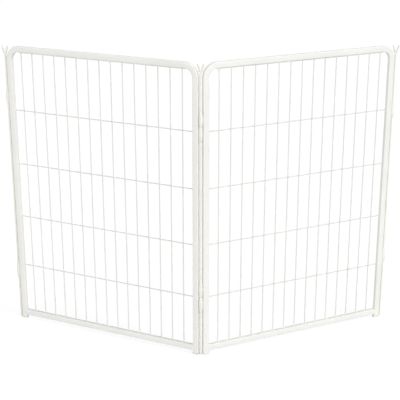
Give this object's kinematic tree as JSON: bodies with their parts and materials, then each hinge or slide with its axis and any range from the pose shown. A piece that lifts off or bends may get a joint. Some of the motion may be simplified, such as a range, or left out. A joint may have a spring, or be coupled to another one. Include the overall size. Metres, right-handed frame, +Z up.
{
  "type": "dog playpen section",
  "caption": "Free-standing dog playpen section: welded steel mesh panels that fold about a lift-out rod with a forked handle.",
  "frame": {"origin": "on the floor, at the centre of the middle rod's tip, on the axis that the panels fold about", "axes": "+X from the left panel's end to the right panel's end as seen from the outside of the V, +Y from the fold towards the open side of the V, +Z up along the rods"},
  "size_m": [1.3332, 0.3152, 1],
  "materials": {
    "frame_coating": "satin powder coat",
    "rail_coating": "satin powder coat",
    "bar_coating": "satin powder coat",
    "upright_wire_coating": "satin powder coat",
    "cross_wire_coating": "satin powder coat",
    "barrel_coating": "satin powder coat",
    "rod_coating": "satin powder coat",
    "plug_plastic": "matt"
  },
  "bodies": {
    "left_panel": {"left_bottom_rail": "rail_coating", "left_cross_wire_1": "cross_wire_coating", "left_cross_wire_2": "cross_wire_coating", "left_cross_wire_3": "cross_wire_coating", "left_cross_wire_4": "cross_wire_coating", "left_frame_tube": "frame_coating", "left_panel_left_foot_plug": "plug_plastic", "left_panel_left_lower_barrel": "barrel_coating", "left_panel_left_upper_barrel": "barrel_coating", "left_panel_right_foot_plug": "plug_plastic", "left_panel_right_lower_barrel": "barrel_coating", "left_panel_right_upper_barrel": "barrel_coating", "left_top_mesh_bar": "bar_coating", "left_upright_wire_01": "upright_wire_coating", "left_upright_wire_02": "upright_wire_coating", "left_upright_wire_03": "upright_wire_coating", "left_upright_wire_04": "upright_wire_coating", "left_upright_wire_05": "upright_wire_coating", "left_upright_wire_06": "upright_wire_coating", "left_upright_wire_07": "upright_wire_coating", "left_upright_wire_08": "upright_wire_coating", "left_upright_wire_09": "upright_wire_coating", "left_upright_wire_10": "upright_wire_coating", "left_upright_wire_11": "upright_wire_coating", "left_upright_wire_12": "upright_wire_coating", "left_upright_wire_13": "upright_wire_coating", "left_upright_wire_14": "upright_wire_coating", "left_upright_wire_15": "upright_wire_coating"},
    "right_panel": {"right_bottom_rail": "rail_coating", "right_cross_wire_1": "cross_wire_coating", "right_cross_wire_2": "cross_wire_coating", "right_cross_wire_3": "cross_wire_coating", "right_cross_wire_4": "cross_wire_coating", "right_frame_tube": "frame_coating", "right_panel_left_foot_plug": "plug_plastic", "right_panel_left_lower_barrel": "barrel_coating", "right_panel_left_upper_barrel": "barrel_coating", "right_panel_right_foot_plug": "plug_plastic", "right_panel_right_lower_barrel": "barrel_coating", "right_panel_right_upper_barrel": "barrel_coating", "right_top_mesh_bar": "bar_coating", "right_upright_wire_01": "upright_wire_coating", "right_upright_wire_02": "upright_wire_coating", "right_upright_wire_03": "upright_wire_coating", "right_upright_wire_04": "upright_wire_coating", "right_upright_wire_05": "upright_wire_coating", "right_upright_wire_06": "upright_wire_coating", "right_upright_wire_07": "upright_wire_coating", "right_upright_wire_08": "upright_wire_coating", "right_upright_wire_09": "upright_wire_coating", "right_upright_wire_10": "upright_wire_coating", "right_upright_wire_11": "upright_wire_coating", "right_upright_wire_12": "upright_wire_coating", "right_upright_wire_13": "upright_wire_coating", "right_upright_wire_14": "upright_wire_coating", "right_upright_wire_15": "upright_wire_coating"},
    "middle_rod": {"middle_rod": "rod_coating"},
    "left_rod": {"left_rod": "rod_coating"},
    "right_rod": {"right_rod": "rod_coating"}
  },
  "joints": [
    {"name": "panel_fold", "type": "hinge", "parent": "left_panel", "child": "right_panel", "pos_m": [0, 0, 0], "axis": [0, 0, 1], "range_deg": [-145.5, 46.5]},
    {"name": "middle_rod_lift", "type": "slide", "parent": "left_panel", "child": "middle_rod", "axis": [0, 0, 1], "range_m": [0, 0.86]},
    {"name": "left_rod_lift", "type": "slide", "parent": "left_panel", "child": "left_rod", "axis": [0, 0, 1], "range_m": [0, 0.86]},
    {"name": "right_rod_lift", "type": "slide", "parent": "right_panel", "child": "right_rod", "axis": [0, 0, 1], "range_m": [0, 0.86]}
  ]
}
